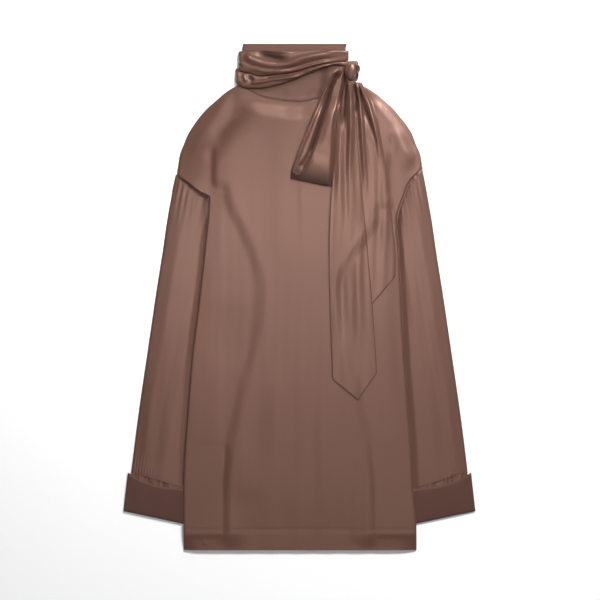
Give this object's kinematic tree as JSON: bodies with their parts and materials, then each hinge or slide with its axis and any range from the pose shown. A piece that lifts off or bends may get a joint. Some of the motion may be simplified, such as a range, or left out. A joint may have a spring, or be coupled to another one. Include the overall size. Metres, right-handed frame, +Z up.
{
  "type": "scarf-neck top",
  "caption": "Long-sleeved satin top laid flat, with a funnel collar, a scarf wound round it and tied in a half bow, and turned-back cuffs.",
  "frame": {"origin": "centre of the laid-out top on the surface that it lies on", "axes": "+Y from the hem towards the collar, +X across towards the sleeve with the bow, +Z up off the surface"},
  "size_m": [0.5796, 0.834, 0.0192],
  "materials": {
    "satin": "warm brown satin, its shiny face out",
    "satin_reverse": "the same satin's matt reverse"
  },
  "bodies": {
    "root": {"front": "satin", "back": "satin", "sleeve_left": "satin", "sleeve_right": "satin", "cuff_left": "satin_reverse", "cuff_right": "satin_reverse", "collar": "satin", "scarf_wrap_upper": "satin", "scarf_wrap_lower": "satin", "scarf_knot": "satin", "scarf_curl": "satin", "scarf_loop": "satin", "scarf_tail_long": "satin", "scarf_tail_short": "satin"}
  },
  "joints": []
}
